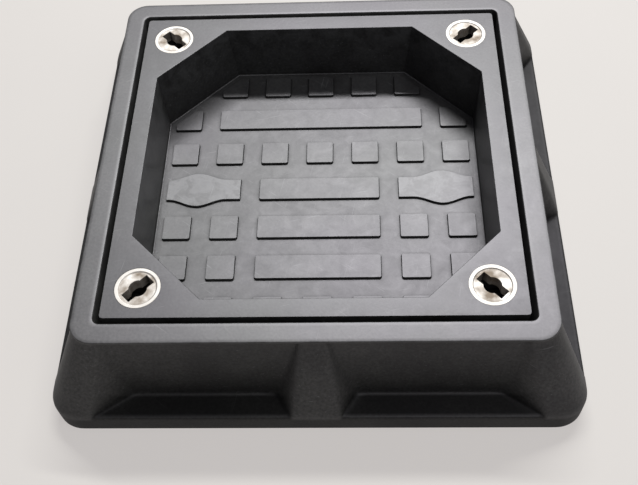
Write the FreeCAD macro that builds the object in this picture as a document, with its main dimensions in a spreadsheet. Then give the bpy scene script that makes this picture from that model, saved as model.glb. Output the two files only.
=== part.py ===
"""Recessed manhole cover: a moulded square frame, a tray cover and four lifting sockets.

Units are millimetres, +Z is up, and the origin is the middle of the frame's underside.
"""
import FreeCAD, Part
import os

import Sketcher

# Driving dimensions: name, value in millimetres (angles in degrees), meaning.
SIZES = (
    ("cover_side", 340.0, "cover across its rim"),
    ("cover_corner_radius", 3.0, "cover's upright corners"),
    ("cover_draft", 1.3, "how much each side of the cover draws in from rim to foot"),
    ("cover_gap", 5.0, "gap between the cover's rim and the frame, each side"),
    ("well_corner_radius", 6.0, "upright corners of the frame's well"),
    ("land_width", 17.4, "flat top of the frame"),
    ("land_corner_radius", 19.0, "outer corners of the land"),
    ("lip_height", 3.0, "thickness of the land's lip"),
    ("lip_overhang", 1.2, "how far the lip stands over the skirt"),
    ("frame_height", 96.0, "underside to land"),
    ("flange_height", 21.0, "thickness of the flange"),
    ("flange_reach", 30.6, "flange edge beyond the land's edge"),
    ("flange_corner_radius", 25.0, "corners of the flange"),
    ("skirt_edge_radius", 3.0, "rounded edges of the flange and of the skirt's pockets"),
    ("seat_height", 20.0, "underside to the ledge that carries the cover"),
    ("seat_width", 25.0, "ledge between the well and the clear opening"),
    ("opening_corner_radius", 20.0, "corners of the clear opening"),
    ("wall_foot_reach", 7.6, "foot of the wall beyond the land's edge"),
    ("buttress_top_width", 20.0, "face of the middle buttress under the lip"),
    ("buttress_toe_width", 38.0, "face of the middle buttress at the flange edge"),
    ("buttress_foot_width", 68.0, "middle buttress where it leaves the wall's foot"),
    ("corner_top_width", 24.0, "corner buttress under the lip, in from the land's corner"),
    ("corner_toe_width", 35.0, "corner buttress at the flange edge, in from the flange's corner"),
    ("corner_foot_width", 38.8, "corner buttress at the wall's foot, in from the land's corner"),
    ("pocket_top_depth", 3.0, "how deep the pockets still are under the lip"),
    ("recess_side", 306.4, "tray's mouth"),
    ("recess_draft", 2.9, "how much each side of the tray draws in from mouth to floor"),
    ("recess_depth", 59.0, "land to tray floor"),
    ("mouth_chamfer", 62.2, "cut corner of the tray's mouth, along each side"),
    ("floor_chamfer", 65.0, "cut corner of the tray's floor, along each side"),
    ("floor_edge_radius", 3.0, "hollow round the tray's floor"),
    ("floor_thickness", 10.0, "plate under the tread"),
    ("tread_pitch", 43.5, "tread squares, middle to middle"),
    ("tread_square", 26.0, "side of a tread square"),
    ("tread_height", 2.2, "rise of the tread over the floor"),
    ("tread_draft", 12.0, "slope of the tread's edges in degrees"),
    ("wide_plate_length", 200.0, "raised plate near the back"),
    ("plate_length", 113.0, "the three shorter raised plates"),
    ("plate_width", 25.0, "all raised plates, front to back"),
    ("pad_length", 70.0, "raised pad at each side"),
    ("pad_width", 24.0, "strip of the side pad, front to back"),
    ("pad_margin", 6.3, "side pad's end to the floor's edge"),
    ("bulge_length", 46.0, "rounded middle of the side pad, along the strip"),
    ("bulge_rise", 7.5, "how far the rounded middle stands out of the strip"),
    ("bulge_inset", 29.0, "rounded middle's centre to the floor's edge, past the margin"),
    ("rib_gap", 4.0, "between the under-ribs and the clear opening"),
    ("rib_ring_thickness", 8.0, "outermost under-rib, a ring"),
    ("rib_thickness", 6.0, "crossed under-ribs"),
    ("rib_foot", 6.0, "underside of the frame to the ribs' lower edge"),
    ("socket_inset", 27.7, "cover's side to a socket's axis"),
    ("socket_diameter", 38.0, "socket head"),
    ("socket_height", 12.0, "socket, top to bottom"),
    ("foot_width", 34.0, "square foot of a socket, whose corners hold it in the moulding"),
    ("foot_height", 4.0, "thickness of the square foot"),
    ("socket_clearance", 0.1, "between a socket and its bore, all round"),
    ("room_width", 29.0, "square room under the socket where the key turns"),
    ("room_depth", 20.0, "socket's foot to the room's floor"),
    ("rim_width", 3.0, "bright rim round the dished head"),
    ("dish_depth", 0.8, "dish of the socket head"),
    ("slot_length", 26.0, "key slot, end to end"),
    ("slot_width", 9.5, "key slot, across"),
    ("slot_eye", 15.0, "round middle of the key slot"),
)

RIBS_EACH_WAY = 5

# Sizes that follow from the driving dimensions.
WELL_SIDE = "(Sizes.cover_side + 2 * Sizes.cover_gap)"
LAND_SIDE = f"({WELL_SIDE} + 2 * Sizes.land_width)"
SKIRT_SIDE = f"({LAND_SIDE} - 2 * Sizes.lip_overhang)"
FLANGE_SIDE = f"({LAND_SIDE} + 2 * Sizes.flange_reach)"
WALL_FOOT = f"({LAND_SIDE} / 2 + Sizes.wall_foot_reach)"
WALL_TOP = f"({SKIRT_SIDE} / 2 - Sizes.pocket_top_depth)"
POCKET_REACH = f"({FLANGE_SIDE} / 2 - {WALL_FOOT})"
CORNER_FOOT = f"({LAND_SIDE} / 2 - Sizes.corner_foot_width)"
CORNER_TOE = f"({FLANGE_SIDE} / 2 - Sizes.corner_toe_width)"
CORNER_TOP = f"({LAND_SIDE} / 2 - Sizes.corner_top_width)"
OPENING_SIDE = f"({WELL_SIDE} - 2 * Sizes.seat_width)"
LIP_FOOT = "(Sizes.frame_height - Sizes.lip_height)"
SKIRT_RISE = f"({LIP_FOOT} - Sizes.flange_height)"
FLOOR_LEVEL = "(Sizes.frame_height - Sizes.recess_depth)"
FLOOR_SIDE = "(Sizes.recess_side - 2 * Sizes.recess_draft)"
RIB_SIDE = f"({OPENING_SIDE} - 2 * Sizes.rib_gap)"
RIB_INNER = f"({RIB_SIDE} - 2 * Sizes.rib_ring_thickness)"
RIB_RISE = f"({FLOOR_LEVEL} - Sizes.floor_thickness - Sizes.rib_foot)"
RIB_PITCH = f"(({RIB_INNER} + Sizes.rib_thickness) / {RIBS_EACH_WAY + 1})"
RIB_CUT = f"(({RIB_SIDE} + {RIB_INNER}) / 2 - Sizes.floor_chamfer)"
SOCKET_PLACE = "(Sizes.cover_side / 2 - Sizes.socket_inset)"
SOCKET_FOOT = "(Sizes.frame_height - Sizes.socket_height)"
BULGE_RADIUS = "(Sizes.bulge_length ^ 2 / (8 * Sizes.bulge_rise) + Sizes.bulge_rise / 2)"

# Columns that hold a tread square in each row of the tray floor, counted from its middle.
TREAD_ROWS = {
    3: (-2, -1, 0, 1, 2),
    2: (-3, 3),
    1: (-3, -2, -1, 0, 1, 2, 3),
    -1: (-3, -2, 2, 3),
    -2: (-3, -2, 2, 3),
    -3: (-2, -1, 0, 1, 2),
}
TREAD_MIDDLE = 4
PLATE_ROWS = {2: "wide_plate_length", 0: "plate_length", -1: "plate_length", -2: "plate_length"}

SIDES = (-1, 1)
SOCKET_TURNS = {"front_left": 225, "front_right": 315, "back_right": 45, "back_left": 135}

START, END, CENTRE = range(1, 4)
ORIGIN_POINT = (-1, START)
THROUGH_ALL = "ThroughAll"
ROUGH_SIZE = 100.0
ROUGH_FLAT = 80.0
FULL_TURN = 360.0
NEAR = 0.01
SQUARE_ON = 0.0001
ASKEW = 0.2


def add_sizes(doc):
    """Write the driving dimensions into the sheet."""
    sheet = doc.addObject("Spreadsheet::Sheet", "Sizes")
    for row, (alias, value, meaning) in enumerate(SIZES, start=1):
        sheet.set(f"A{row}", meaning)
        sheet.set(f"B{row}", str(value))
        sheet.setAlias(f"B{row}", alias)
    doc.recompute()
    return sheet


def add_body(doc, label):
    """Start the body of one sub-part."""
    body = doc.addObject("PartDesign::Body", label)
    body.Label = label
    return body


def origin_plane(body, role):
    """Find one of the body's own origin planes."""
    return next(item for item in body.Origin.OriginFeatures if item.Role == role)


def add_sketch(body, name, level="0"):
    """Lay an empty sketch flat at a level above the underside."""
    sketch = body.newObject("Sketcher::SketchObject", name)
    sketch.AttachmentSupport = [(origin_plane(body, "XY_Plane"), "")]
    sketch.MapMode = "FlatFace"
    sketch.setExpression("AttachmentOffset.Base.z", level)
    return sketch


def add_upright_sketch(body, name):
    """Stand an empty sketch on the body's XZ plane."""
    sketch = body.newObject("Sketcher::SketchObject", name)
    sketch.AttachmentSupport = [(origin_plane(body, "XZ_Plane"), "")]
    sketch.MapMode = "FlatFace"
    return sketch


def bind(sketch, constraint, expression):
    """Add a constraint whose value follows an expression."""
    index = sketch.addConstraint(constraint)
    sketch.setExpression(f"Constraints[{index}]", expression)


def bind_point(sketch, curve, point, x, y):
    """Fix a point of a curve at x, y from the sketch's origin, starting where it was drawn."""
    drawn = sketch.getPoint(curve, point)
    for kind, value, expression in (("DistanceX", drawn.x, x), ("DistanceY", drawn.y, y)):
        bind(sketch, Sketcher.Constraint(kind, *ORIGIN_POINT, curve, point, value), expression)


def rough_corners(count):
    """Corners of a rough ring, drawn before the constraints move them."""
    upright = FreeCAD.Vector(0, 0, 1)
    spoke = FreeCAD.Vector(ROUGH_SIZE, 0, 0)
    return [FreeCAD.Rotation(upright, FULL_TURN * index / count).multVec(spoke) for index in range(count)]


def draw_polygon(sketch, corners):
    """Draw a closed polygon whose corners are pairs of expressions."""
    count = len(corners)
    rough = rough_corners(count)
    first = sketch.GeometryCount
    sketch.addGeometry([Part.LineSegment(rough[i], rough[(i + 1) % count]) for i in range(count)])
    for index, (x, y) in enumerate(corners):
        following = first + (index + 1) % count
        sketch.addConstraint(Sketcher.Constraint("Coincident", first + index, END, following, START))
        bind_point(sketch, first + index, START, x, y)


def draw_rectangle(sketch, x, y, length, width):
    """Draw a rectangle of a length along X and a width along Y round a middle."""
    corners = ((-1, -1), (1, -1), (1, 1), (-1, 1))
    draw_polygon(sketch, [(f"{x} + {i} * {length} / 2", f"{y} + {j} * {width} / 2") for i, j in corners])


def draw_cut_square(sketch, side, cut):
    """Draw a square with its four corners cut off."""
    near = f"({side} / 2 - {cut})"
    far = f"({side} / 2)"
    draw_polygon(sketch, [
        (near, f"-{far}"), (far, f"-{near}"), (far, near), (near, far),
        (f"-{near}", far), (f"-{far}", near), (f"-{far}", f"-{near}"), (f"-{near}", f"-{far}"),
    ])


def draw_rounded_square(sketch, side, radius):
    """Draw a square about the origin with four equal rounded corners."""
    half = ROUGH_SIZE
    flat = ROUGH_FLAT
    point = FreeCAD.Vector
    ends = [
        (point(-flat, -half), point(flat, -half)), (point(half, -flat), point(half, flat)),
        (point(flat, half), point(-flat, half)), (point(-half, flat), point(-half, -flat)),
    ]
    sketch.addGeometry([Part.LineSegment(*pair) for pair in ends])
    quarter = FreeCAD.Rotation(FreeCAD.Vector(0, 0, 1), FULL_TURN / 4)
    centre = point(flat, -flat)
    middle = centre + point(1, -1).normalize() * (half - flat)
    for index in range(4):
        following = (index + 1) % 4
        sketch.addGeometry(Part.Arc(ends[index][1], middle, ends[following][0]))
        middle = quarter.multVec(middle)
    for index in range(4):
        arc = 4 + index
        following = (index + 1) % 4
        sketch.addConstraint(Sketcher.Constraint("Tangent", index, END, arc, START))
        sketch.addConstraint(Sketcher.Constraint("Tangent", arc, END, following, START))
        sketch.addConstraint(Sketcher.Constraint("Vertical" if index % 2 else "Horizontal", index))
        if index:
            sketch.addConstraint(Sketcher.Constraint("Equal", 4, arc))
    sketch.addConstraint(Sketcher.Constraint("Symmetric", 5, CENTRE, 7, CENTRE, *ORIGIN_POINT))
    bind(sketch, Sketcher.Constraint("DistanceX", 3, START, 1, START, 2 * half), side)
    bind(sketch, Sketcher.Constraint("DistanceY", 0, START, 2, START, 2 * half), side)
    bind(sketch, Sketcher.Constraint("Radius", 4, half - flat), radius)


def draw_circle(sketch, x, y, diameter):
    """Draw a circle round a middle."""
    circle = sketch.addGeometry(Part.Circle(FreeCAD.Vector(), FreeCAD.Vector(0, 0, 1), ROUGH_SIZE))
    bind_point(sketch, circle, CENTRE, x, y)
    bind(sketch, Sketcher.Constraint("Diameter", circle, ROUGH_SIZE), diameter)


def add_extrusion(body, kind, name, sketch, depth, upward=False):
    """Pad or pocket a sketch: a pad rises, and a pocket sinks unless it is told to rise."""
    feature = body.newObject(f"PartDesign::{kind}", name)
    feature.Profile = sketch
    if depth == THROUGH_ALL:
        feature.Type = THROUGH_ALL
    else:
        feature.setExpression("Length", depth)
    feature.Reversed = upward
    return feature


def add_loft(body, kind, name, lower, upper):
    """Join two sketches with straight-ruled sides."""
    loft = body.newObject(f"PartDesign::{kind}", name)
    loft.Profile = lower
    loft.Sections = [upper]
    loft.Ruled = True
    return loft


def find(shapes, kind, wanted):
    """Name the faces or edges that pass a test."""
    return [f"{kind}{number}" for number, shape in enumerate(shapes, start=1) if wanted(shape)]


def add_fillet(body, name, base, wanted, radius):
    """Round the edges of a feature that pass a test."""
    fillet = body.newObject("PartDesign::Fillet", name)
    fillet.Base = (base, find(base.Shape.Edges, "Edge", wanted))
    fillet.setExpression("Radius", radius)
    return fillet


def add_draft(body, name, base, wanted, level, angle, narrow_below=False):
    """Lean the faces of a feature that pass a test, holding their line on a level face."""
    draft = body.newObject("PartDesign::Draft", name)
    draft.Base = (base, find(base.Shape.Faces, "Face", wanted))
    draft.NeutralPlane = (base, find(base.Shape.Faces, "Face", lambda face: lies_at(face, level))[:1])
    draft.setExpression("Angle", angle)
    draft.Reversed = narrow_below
    body.Document.recompute()
    return draft


def add_polar_pattern(body, name, original, level_sketch):
    """Repeat a feature on the four sides round the upright axis of a level sketch."""
    pattern = body.newObject("PartDesign::PolarPattern", name)
    pattern.Originals = [original]
    pattern.Axis = (level_sketch, ["N_Axis"])
    pattern.Angle = FULL_TURN
    pattern.Occurrences = 4
    body.Tip = pattern
    body.Document.recompute()
    return pattern


def lies_at(face, level):
    """Tell whether a whole face lies at one level."""
    return abs(face.BoundBox.ZMin - level) < NEAR and abs(face.BoundBox.ZMax - level) < NEAR


def flat_normal(face):
    """Give the normal of a flat face, or an upright vector for a curved one."""
    return face.normalAt(0, 0) if face.Surface.TypeId == "Part::GeomPlane" else FreeCAD.Vector(0, 0, 1)


def is_upright(face, askew):
    """Tell whether a flat face stands upright, and either square to X or Y or askew to both."""
    normal = flat_normal(face)
    slant = min(abs(normal.x), abs(normal.y))
    return abs(normal.z) < SQUARE_ON and (slant > ASKEW if askew else slant < SQUARE_ON)


def is_flank(face):
    """Tell whether a flat face slants across both X and Y, as only the pockets' flanks do."""
    normal = flat_normal(face)
    return min(abs(normal.x), abs(normal.y)) > ASKEW


def build_frame(doc):
    """Build the frame: flange, flared skirt with pockets, land, well, ledge and clear opening."""
    body = add_body(doc, "frame")

    outline = add_sketch(body, "FlangeOutline")
    draw_rounded_square(outline, FLANGE_SIDE, "Sizes.flange_corner_radius")
    add_extrusion(body, "Pad", "Flange", outline, "Sizes.flange_height")

    skirt_foot = add_sketch(body, "SkirtFoot", "Sizes.flange_height")
    draw_rounded_square(skirt_foot, FLANGE_SIDE, "Sizes.flange_corner_radius")
    skirt_top = add_sketch(body, "SkirtTop", LIP_FOOT)
    draw_rounded_square(skirt_top, SKIRT_SIDE, "Sizes.land_corner_radius - Sizes.lip_overhang")
    add_loft(body, "AdditiveLoft", "Skirt", skirt_foot, skirt_top)
    add_skirt_pockets(body, skirt_foot, skirt_top)

    land = add_sketch(body, "LandOutline", LIP_FOOT)
    draw_rounded_square(land, LAND_SIDE, "Sizes.land_corner_radius")
    add_extrusion(body, "Pad", "Land", land, "Sizes.lip_height")

    well = add_sketch(body, "WellOutline", "Sizes.frame_height")
    draw_rounded_square(well, WELL_SIDE, "Sizes.well_corner_radius")
    add_extrusion(body, "Pocket", "Well", well, "Sizes.frame_height - Sizes.seat_height")

    opening = add_sketch(body, "OpeningOutline", "Sizes.seat_height")
    draw_rounded_square(opening, OPENING_SIDE, "Sizes.opening_corner_radius")
    add_extrusion(body, "Pocket", "ClearOpening", opening, THROUGH_ALL)
    return body


def add_skirt_pockets(body, skirt_foot, skirt_top):
    """Cut two pockets into each side of the skirt, lean their faces and round their edges."""
    buttress_lean = f"((Sizes.buttress_foot_width - Sizes.buttress_toe_width) / 2 / {POCKET_REACH})"
    corner_lean = f"(({CORNER_TOE} - {CORNER_FOOT}) / {POCKET_REACH})"
    inset = f"({WALL_FOOT} - {WALL_TOP})"
    outline = add_sketch(body, "PocketOutline", "Sizes.flange_height")
    for side in SIDES:
        draw_polygon(outline, [
            (f"{side} * (Sizes.buttress_foot_width / 2 + {buttress_lean} * {inset})", f"-{WALL_TOP}"),
            (f"{side} * ({CORNER_FOOT} - {corner_lean} * {inset})", f"-{WALL_TOP}"),
            (f"{side} * {CORNER_TOE}", f"-{FLANGE_SIDE} / 2"),
            (f"{side} * Sizes.buttress_toe_width / 2", f"-{FLANGE_SIDE} / 2"),
        ])
    cut = add_extrusion(body, "Pocket", "PocketCut", outline, SKIRT_RISE, upward=True)
    pockets = add_polar_pattern(body, "SkirtPockets", cut, skirt_foot)

    foot, top = skirt_foot.Placement.Base.z, skirt_top.Placement.Base.z
    middle_zone = pockets.Shape.BoundBox.XMax / 2

    def is_wall(face):
        """Tell whether a face is the back wall of a pocket."""
        return face.BoundBox.ZMin > foot - NEAR and is_upright(face, askew=False)

    def is_buttress_flank(face):
        """Tell whether a face is a flank of a middle buttress, before it is leant."""
        centre = face.CenterOfMass
        return is_upright(face, askew=True) and min(abs(centre.x), abs(centre.y)) < middle_zone

    def is_corner_flank(face):
        """Tell whether a face is a flank of a corner buttress, before it is leant."""
        return is_upright(face, askew=True) and not is_buttress_flank(face)

    def flank_angle(shift, lean):
        """Angle of a flank that moves along its wall by a shift from its foot to the lip."""
        drop = f"({WALL_FOOT} - {SKIRT_SIDE} / 2)"
        return f"atan(({shift} + {lean} * {drop}) / sqrt(1 + {lean} ^ 2) / {SKIRT_RISE})"

    buttress_shift = "(Sizes.buttress_foot_width - Sizes.buttress_top_width) / 2"
    walls = add_draft(body, "WallDraft", pockets, is_wall, top, f"atan({inset} / {SKIRT_RISE})")
    flanks = add_draft(body, "ButtressDraft", walls, is_buttress_flank, foot,
                       flank_angle(buttress_shift, buttress_lean))
    leant = add_draft(body, "CornerDraft", flanks, is_corner_flank, foot,
                      flank_angle(f"({CORNER_TOP} - {CORNER_FOOT})", corner_lean))
    faces = leant.Shape.Faces
    flank_edges = [edge for face in faces if is_flank(face) for edge in face.Edges]
    flange_sides = [face for face in faces if face.BoundBox.ZMin < NEAR < face.BoundBox.ZLength]
    side_edges = [edge for face in flange_sides for edge in face.Edges]

    def is_soft(edge):
        """Tell whether an edge is the flange's upper rim, or rises along a flank below the lip."""
        low, high = edge.BoundBox.ZMin, edge.BoundBox.ZMax
        on_rim = low > foot - NEAR and any(edge.isSame(other) for other in side_edges)
        on_flank = any(edge.isSame(other) for other in flank_edges)
        return on_rim or on_flank and low < top - NEAR and high > foot + NEAR

    return add_fillet(body, "SkirtEdges", leant, is_soft, "Sizes.skirt_edge_radius")


def build_cover(doc):
    """Build the cover: a drafted tray with cut corners, its tread, its under-ribs and socket bores."""
    body = add_body(doc, "cover")
    outline = add_sketch(body, "CoverOutline", "Sizes.seat_height")
    draw_rectangle(outline, "0", "0", "Sizes.cover_side", "Sizes.cover_side")
    height = "(Sizes.frame_height - Sizes.seat_height)"
    block = add_extrusion(body, "Pad", "Block", outline, height)
    doc.recompute()
    rim_level = block.Shape.BoundBox.ZMax
    outside = add_draft(body, "OutsideDraft", block, lambda face: face.BoundBox.ZLength > NEAR, rim_level,
                        f"atan(Sizes.cover_draft / {height})", narrow_below=True)
    add_fillet(body, "CoverCorners", outside, lambda edge: edge.BoundBox.ZLength > NEAR,
               "Sizes.cover_corner_radius")

    mouth = add_sketch(body, "TrayMouth", "Sizes.frame_height")
    draw_cut_square(mouth, "Sizes.recess_side", "Sizes.mouth_chamfer")
    recess = add_extrusion(body, "Pocket", "Recess", mouth, "Sizes.recess_depth")
    doc.recompute()
    corner_draft = "(2 * Sizes.recess_draft + Sizes.floor_chamfer - Sizes.mouth_chamfer) / sqrt(2)"
    sides = add_draft(body, "SideDraft", recess, lambda face: is_upright(face, askew=False), rim_level,
                      "atan(Sizes.recess_draft / Sizes.recess_depth)")
    corners = add_draft(body, "CutCornerDraft", sides, lambda face: is_upright(face, askew=True), rim_level,
                        f"atan({corner_draft} / Sizes.recess_depth)")
    floor_level = rim_level - doc.Sizes.recess_depth

    def on_floor(edge):
        """Tell whether an edge runs round the tray floor."""
        return all(abs(vertex.Z - floor_level) < NEAR for vertex in edge.Vertexes)

    add_fillet(body, "FloorEdge", corners, on_floor, "Sizes.floor_edge_radius")
    add_tread(body)
    add_under_ribs(body)
    add_socket_bores(body)
    return body


def add_tread(body):
    """Raise the squares, plates and side pads of the tread from the tray floor."""
    raised = []
    for row, columns in TREAD_ROWS.items():
        squares = add_sketch(body, f"TreadRow{row + TREAD_MIDDLE}", FLOOR_LEVEL)
        raised.append(squares)
        for column in columns:
            draw_rectangle(squares, f"{column} * Sizes.tread_pitch", f"{row} * Sizes.tread_pitch",
                           "Sizes.tread_square", "Sizes.tread_square")
    plates = add_sketch(body, "TreadPlates", FLOOR_LEVEL)
    for row, length in PLATE_ROWS.items():
        draw_rectangle(plates, "0", f"{row} * Sizes.tread_pitch", f"Sizes.{length}", "Sizes.plate_width")
    strips = add_sketch(body, "PadStrips", FLOOR_LEVEL)
    bulges = add_sketch(body, "PadBulges", FLOOR_LEVEL)
    for side in SIDES:
        end = f"{FLOOR_SIDE} / 2 - Sizes.pad_margin"
        draw_rectangle(strips, f"{side} * ({end} - Sizes.pad_length / 2)", "0",
                       "Sizes.pad_length", "Sizes.pad_width")
        draw_bulge(bulges, side, f"{side} * ({end} - Sizes.bulge_inset)")
    for sketch in (*raised, plates, strips, bulges):
        pad = add_extrusion(body, "Pad", f"{sketch.Name}Raised", sketch, "Sizes.tread_height")
        pad.setExpression("TaperAngle", "-Sizes.tread_draft")


def draw_bulge(sketch, side, x):
    """Draw a short strip whose two long sides swell out in arcs."""
    sizes = sketch.Document.Sizes
    first = sketch.GeometryCount
    middle = side * ROUGH_SIZE
    left, right = middle - sizes.bulge_length / 2, middle + sizes.bulge_length / 2
    high = sizes.pad_width / 2
    crest = high + sizes.bulge_rise
    point = FreeCAD.Vector
    sketch.addGeometry([
        Part.Arc(point(left, -high), point(middle, -crest), point(right, -high)),
        Part.LineSegment(point(right, -high), point(right, high)),
        Part.Arc(point(right, high), point(middle, crest), point(left, high)),
        Part.LineSegment(point(left, high), point(left, -high)),
    ])
    places = ((1, START, 1, -1), (1, END, 1, 1), (3, START, -1, 1), (3, END, -1, -1))
    for offset, end, i, j in places:
        bind_point(sketch, first + offset, end, f"{x} + {i} * Sizes.bulge_length / 2",
                   f"{j} * Sizes.pad_width / 2")
    for index in range(4):
        following = first + (index + 1) % 4
        sketch.addConstraint(Sketcher.Constraint("Coincident", first + index, END, following, START))
    for arc in (first, first + 2):
        bind(sketch, Sketcher.Constraint("Radius", arc, sketch.Geometry[arc].Radius), BULGE_RADIUS)


def add_under_ribs(body):
    """Add the ring of ribs and the crossed ribs that stiffen the floor from below."""
    ring = add_sketch(body, "RibRing", "Sizes.rib_foot")
    draw_cut_square(ring, RIB_SIDE, "Sizes.floor_chamfer")
    add_extrusion(body, "Pad", "RibBlock", ring, "Sizes.seat_height - Sizes.rib_foot")
    room = add_sketch(body, "RibRoom", "Sizes.rib_foot")
    draw_cut_square(room, RIB_INNER, "Sizes.floor_chamfer")
    add_extrusion(body, "Pocket", "UnderRoom", room, RIB_RISE, upward=True)
    middle_rib = (RIBS_EACH_WAY - 1) // 2
    for name, turned in (("Long", False), ("Cross", True)):
        ribs = add_sketch(body, f"{name}Ribs", "Sizes.rib_foot")
        for step in range(-middle_rib, middle_rib + 1):
            place = f"{step} * {RIB_PITCH}"
            to_ring = f"({RIB_INNER} / 2 + Sizes.rib_thickness / 2)"
            to_cut_corner = f"({RIB_CUT} - {abs(step)} * {RIB_PITCH})"
            length = f"(2 * min({to_ring}; {to_cut_corner}))"
            if turned:
                draw_rectangle(ribs, place, "0", "Sizes.rib_thickness", length)
            else:
                draw_rectangle(ribs, "0", place, length, "Sizes.rib_thickness")
        add_extrusion(body, "Pad", f"{name}RibPads", ribs, RIB_RISE)


def add_socket_bores(body):
    """Hollow the four corners for the moulded-in sockets and the rooms where the keys turn."""
    heads = add_sketch(body, "HeadBores", "Sizes.frame_height")
    feet = add_sketch(body, "FootBores", SOCKET_FOOT)
    rooms = add_sketch(body, "KeyRooms", SOCKET_FOOT)
    foot = "(Sizes.foot_width + 2 * Sizes.socket_clearance)"
    for i in SIDES:
        for j in SIDES:
            x, y = f"{i} * {SOCKET_PLACE}", f"{j} * {SOCKET_PLACE}"
            draw_circle(heads, x, y, "Sizes.socket_diameter + 2 * Sizes.socket_clearance")
            draw_rectangle(feet, x, y, foot, foot)
            draw_rectangle(rooms, x, y, "Sizes.room_width", "Sizes.room_width")
    head_height = "Sizes.socket_height - Sizes.foot_height"
    add_extrusion(body, "Pocket", "HeadBore", heads, head_height)
    add_extrusion(body, "Pocket", "FootBore", feet, "Sizes.foot_height", upward=True)
    add_extrusion(body, "Pocket", "KeyRoom", rooms, "Sizes.room_depth")


def build_socket(doc, corner, turn):
    """Build one lifting socket: a dished round head on a square foot, with a key slot to the middle."""
    body = add_body(doc, f"lifting_socket_{corner}")
    profile = add_upright_sketch(body, f"HeadProfile_{corner}")
    dish = "Sizes.socket_diameter / 2 - Sizes.rim_width"
    underside = "Sizes.foot_height - Sizes.socket_height"
    draw_polygon(profile, [
        ("0", underside),
        ("Sizes.socket_diameter / 2", underside),
        ("Sizes.socket_diameter / 2", "0"),
        (dish, "0"),
        (f"{dish} - Sizes.dish_depth", "-Sizes.dish_depth"),
        ("0", "-Sizes.dish_depth"),
    ])
    head = body.newObject("PartDesign::Revolution", f"Head_{corner}")
    head.Profile = profile
    head.ReferenceAxis = (profile, ["V_Axis"])
    head.Angle = FULL_TURN

    foot = add_sketch(body, f"FootOutline_{corner}", "-Sizes.socket_height")
    tip = "Sizes.foot_width / sqrt(2)"
    draw_polygon(foot, [(tip, "0"), ("0", tip), (f"-{tip}", "0"), ("0", f"-{tip}")])
    add_extrusion(body, "Pad", f"Foot_{corner}", foot, "Sizes.foot_height")

    slot = add_sketch(body, f"KeySlot_{corner}")
    draw_rectangle(slot, "0", "0", "Sizes.slot_length", "Sizes.slot_width")
    add_extrusion(body, "Pocket", f"SlotCut_{corner}", slot, "Sizes.socket_height")
    eye = add_sketch(body, f"KeyEye_{corner}")
    draw_circle(eye, "0", "0", "Sizes.slot_eye")
    add_extrusion(body, "Pocket", f"EyeCut_{corner}", eye, "Sizes.socket_height")

    body.Placement.Rotation = FreeCAD.Rotation(FreeCAD.Vector(0, 0, 1), turn)
    x_side = 1 if corner.endswith("right") else -1
    y_side = 1 if corner.startswith("back") else -1
    body.setExpression("Placement.Base.x", f"{x_side} * {SOCKET_PLACE}")
    body.setExpression("Placement.Base.y", f"{y_side} * {SOCKET_PLACE}")
    body.setExpression("Placement.Base.z", "Sizes.frame_height")
    return body


def check(doc, bodies):
    """Stop if any object failed or any sub-part is not a single sound solid."""
    for item in doc.Objects:
        if {"Invalid", "Error"} & set(item.State):
            raise RuntimeError(f"{item.Label} failed: {item.State}")
    for body in bodies:
        shape = body.Shape
        if shape.isNull() or not shape.isValid() or len(shape.Solids) != 1:
            raise RuntimeError(f"{body.Label} is not one sound solid")


def main():
    """Build the assembly and write each sub-part's shape."""
    doc = FreeCAD.newDocument("recessed_manhole_cover")
    add_sizes(doc)
    bodies = [build_frame(doc), build_cover(doc)]
    bodies += [build_socket(doc, corner, turn) for corner, turn in SOCKET_TURNS.items()]
    doc.recompute()
    check(doc, bodies)
    os.makedirs("parts", exist_ok=True)
    for body in bodies:
        body.Shape.exportStep(os.path.join("parts", f"{body.Label}.step"))
        print(body.Label, round(body.Shape.Volume / 1000.0, 2), "cm3")


main()
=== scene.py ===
"""Recessed manhole cover in a studio: a moulded frame, a tray cover and four steel lifting sockets.

Shapes are drawn in millimetres and scaled once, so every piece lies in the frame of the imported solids.
"""
import logging
import math
from dataclasses import dataclass
from enum import Enum
from typing import ClassVar, NamedTuple

import bmesh
import bpy
from mathutils import Matrix, Vector


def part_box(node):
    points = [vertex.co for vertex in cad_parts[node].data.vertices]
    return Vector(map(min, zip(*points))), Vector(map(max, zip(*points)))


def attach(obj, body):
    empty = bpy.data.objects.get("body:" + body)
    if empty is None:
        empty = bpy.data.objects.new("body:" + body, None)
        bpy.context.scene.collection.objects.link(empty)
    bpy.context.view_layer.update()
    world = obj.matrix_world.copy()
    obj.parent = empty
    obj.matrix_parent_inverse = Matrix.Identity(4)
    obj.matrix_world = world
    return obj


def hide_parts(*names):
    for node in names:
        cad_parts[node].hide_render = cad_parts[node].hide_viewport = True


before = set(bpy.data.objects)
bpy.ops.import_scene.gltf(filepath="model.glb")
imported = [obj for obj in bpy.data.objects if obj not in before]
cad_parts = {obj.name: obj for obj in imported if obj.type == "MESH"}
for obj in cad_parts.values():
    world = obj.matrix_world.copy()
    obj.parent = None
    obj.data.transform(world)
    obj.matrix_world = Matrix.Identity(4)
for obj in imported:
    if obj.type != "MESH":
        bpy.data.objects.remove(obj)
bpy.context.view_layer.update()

LOG = logging.getLogger("manhole_cover")
MM = 0.001
MERGE = 0.01
SIDES = (-1, 1)
QUARTER = math.pi / 2
ASKEW = 0.61
# Vertex layer: above zero the skin is rubbed pale, below zero painted shade darkens it.
WEAR_AND_SHADE = "wear_and_painted_shade"
BEVEL_WEIGHT = "bevel_weight_edge"
WIDEST_BEVEL = 6.0
SHARP_ANGLE = 35.0
CREASE_SAMPLES = 8

Colour = tuple[float, float, float, float]
Loop = list[bmesh.types.BMEdge]
Point = tuple[float, float]


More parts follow.
